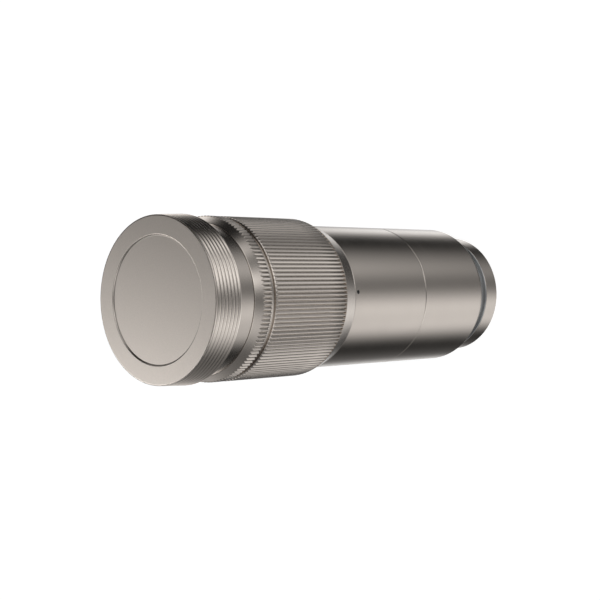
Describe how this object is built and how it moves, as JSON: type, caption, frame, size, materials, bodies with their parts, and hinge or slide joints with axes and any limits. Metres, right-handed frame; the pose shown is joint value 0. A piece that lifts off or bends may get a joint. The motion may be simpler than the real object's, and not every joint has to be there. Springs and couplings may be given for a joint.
{
  "type": "phone telephoto lens",
  "caption": "Telephoto converter lens for a phone: turned metal barrel with a knurled focus ring, ridged slip-on front cap and short threaded rear boss.",
  "frame": {"origin": "centre of the rear face of the rear collar, on the optical axis", "axes": "+Z along the optical axis from the phone side towards the front cap; -Y points to the index mark"},
  "size_m": [0.0494, 0.0494, 0.1414],
  "materials": {
    "titanium_grey": "satin bead-blasted, warm grey",
    "black_anodised": "matt black anodised",
    "coated_glass": "polished, coated",
    "brass": "turned",
    "screw_steel": "turned",
    "felt": "short black felt",
    "ptfe": "matt",
    "black_enamel": "satin black enamel"
  },
  "bodies": {
    "barrel": {"main_barrel": "titanium_grey", "index_mark": "black_enamel", "clamp_ring": "brass", "friction_washer": "ptfe", "stop_pin": "screw_steel", "seam_baffle": "black_anodised", "rear_barrel": "titanium_grey", "mount_collar": "titanium_grey", "rear_cell": "black_anodised", "rear_meniscus": "coated_glass", "rear_spacer": "black_anodised", "rear_doublet_positive": "coated_glass", "rear_doublet_negative": "coated_glass", "rear_retaining_ring": "black_anodised", "phone_thread_boss": "black_anodised", "guide_screw_1": "screw_steel", "guide_screw_2": "screw_steel", "guide_screw_3": "screw_steel", "boss_screw_1": "screw_steel", "boss_screw_2": "screw_steel", "boss_screw_3": "screw_steel"},
    "focus_ring": {"focus_ring": "titanium_grey"},
    "objective": {"objective_barrel": "titanium_grey", "front_retaining_ring": "black_anodised", "front_element": "coated_glass", "objective_spacer": "black_anodised", "doublet_crown": "coated_glass", "doublet_flint": "coated_glass", "cell_baffle": "black_anodised"},
    "front_cap": {"front_cap": "titanium_grey", "cap_lining": "felt"}
  },
  "joints": [
    {"name": "focus_turn", "type": "hinge", "parent": "barrel", "child": "focus_ring", "pos_m": [0, 0, 0.1], "axis": [0, 0, -1], "range_deg": [0, 150]},
    {"name": "objective_travel", "type": "slide", "parent": "barrel", "child": "objective", "axis": [0, 0, 1], "range_m": [0, 0.005]},
    {"name": "cap_lift", "type": "slide", "parent": "objective", "child": "front_cap", "axis": [0, 0, 1], "range_m": [0, 0.025]}
  ],
  "couplings": [
    {"joint": "objective_travel", "follows": "focus_turn", "m_per_rad": 0.0019099}
  ]
}
